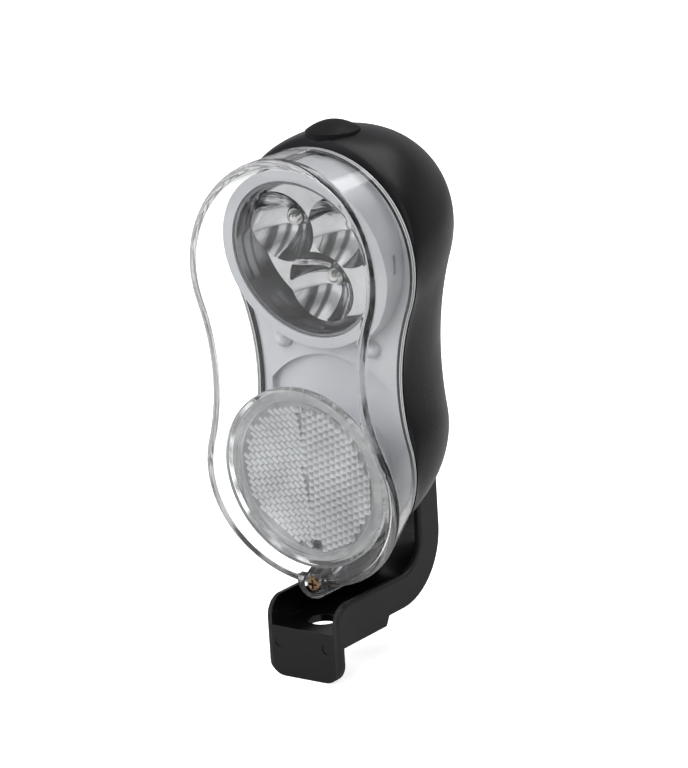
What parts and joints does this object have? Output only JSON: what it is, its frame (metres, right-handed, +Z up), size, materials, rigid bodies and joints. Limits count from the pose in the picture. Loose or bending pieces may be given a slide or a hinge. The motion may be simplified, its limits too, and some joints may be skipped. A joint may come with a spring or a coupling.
{
  "type": "bicycle headlight",
  "caption": "Battery bicycle headlight with a clear peanut-shaped cap over a cupped LED reflector and a round retroreflector, a push button on top, and a channel bracket with a bolt hole",
  "frame": {"origin": "centre of the bracket's bolt hole, on the flat seat face below its floor", "axes": "+Z up, -Y the way the lamp shines, +X to the right of someone who looks at the front; the whole outline is even about X = 0"},
  "size_m": [0.049, 0.0489, 0.118],
  "materials": {
    "bracket_plastic": "satin",
    "housing_plastic": "satin",
    "clear_plastic": "gloss",
    "reflector_plastic": "gloss",
    "silver_plastic": "satin",
    "white_plastic": "satin",
    "chrome": "polished",
    "led_epoxy": "gloss",
    "circuit_board": "satin",
    "black_rubber": "matte",
    "switch_plastic": "matte",
    "brass_plated": "polished",
    "dark_steel": "satin",
    "spring_steel": "satin",
    "cell_jacket": "gloss"
  },
  "bodies": {
    "bracket": {"bracket": "bracket_plastic", "pivot_bolt": "dark_steel", "pivot_nut": "dark_steel", "pivot_washers": "dark_steel"},
    "lamp": {"rear_housing": "housing_plastic", "front_cap": "clear_plastic", "seal_gasket": "black_rubber", "bezel_plate": "silver_plastic", "retro_reflector": "reflector_plastic", "retro_backing": "white_plastic", "led_reflector": "chrome", "led_lower": "led_epoxy", "led_right": "led_epoxy", "led_left": "led_epoxy", "led_board": "circuit_board", "cap_screw": "brass_plated", "screw_insert": "brass_plated", "switch_body": "switch_plastic", "switch_board": "circuit_board", "battery_tray": "switch_plastic", "contact_plate_lower": "spring_steel", "contact_plate_upper": "spring_steel", "contact_spring_left": "spring_steel", "contact_spring_middle": "spring_steel", "contact_spring_right": "spring_steel", "battery_left": "cell_jacket", "battery_middle": "cell_jacket", "battery_right": "cell_jacket"},
    "button": {"push_button": "black_rubber", "switch_plunger": "switch_plastic"}
  },
  "joints": [
    {"name": "tilt", "type": "hinge", "parent": "bracket", "child": "lamp", "pos_m": [0, 0.0282, 0.034], "axis": [1, 0, 0], "range_deg": [-20, 5]},
    {"name": "button_press", "type": "slide", "parent": "lamp", "child": "button", "axis": [0, 0, -1], "range_m": [0, 0.001], "stiffness_N_per_m": 300, "springref_m": -0.001}
  ]
}
